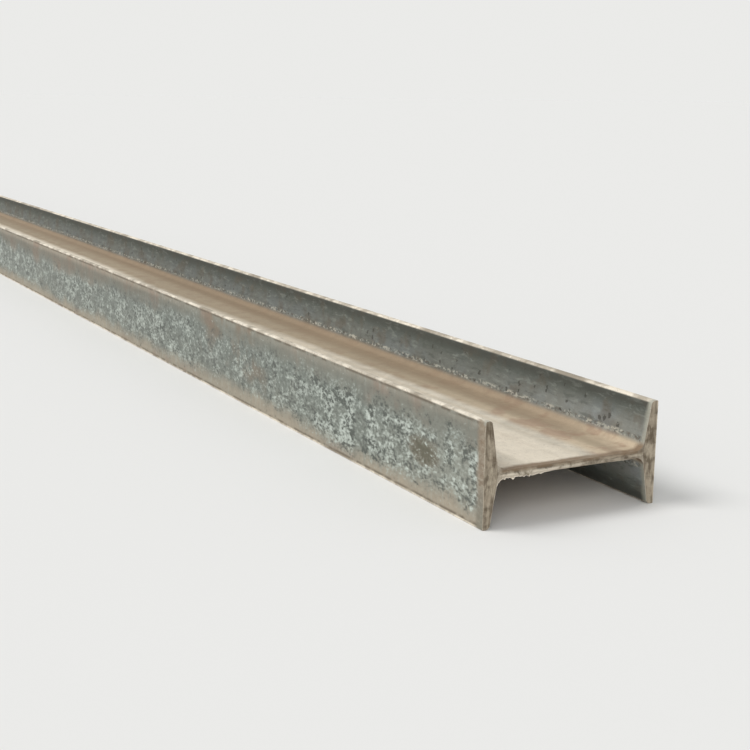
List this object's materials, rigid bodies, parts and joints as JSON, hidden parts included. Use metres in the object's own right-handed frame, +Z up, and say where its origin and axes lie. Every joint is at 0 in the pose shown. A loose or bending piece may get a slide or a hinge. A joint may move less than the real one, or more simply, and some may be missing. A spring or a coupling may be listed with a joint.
{
  "type": "steel i-beam",
  "caption": "Hot-rolled steel I-beam with tapered flanges and sawn ends, lying on its flange toes with the web level, grey mill scale with rust along the edges.",
  "frame": {"origin": "on the floor under the middle of the beam: midway along its length, midway between the two flanges, at the level of the lower flange toes", "axes": "+X along the beam towards the end that the picture shows, +Y across the beam's depth from one flange to the other, +Z up, square to the web"},
  "size_m": [6, 0.18, 0.094],
  "materials": {
    "hot_rolled_steel": "hot-rolled mill scale, dusty and spotted, with brown rust along the flange edges, on the web and on the sawn ends"
  },
  "bodies": {
    "root": {"i_beam": "hot_rolled_steel"}
  },
  "joints": []
}
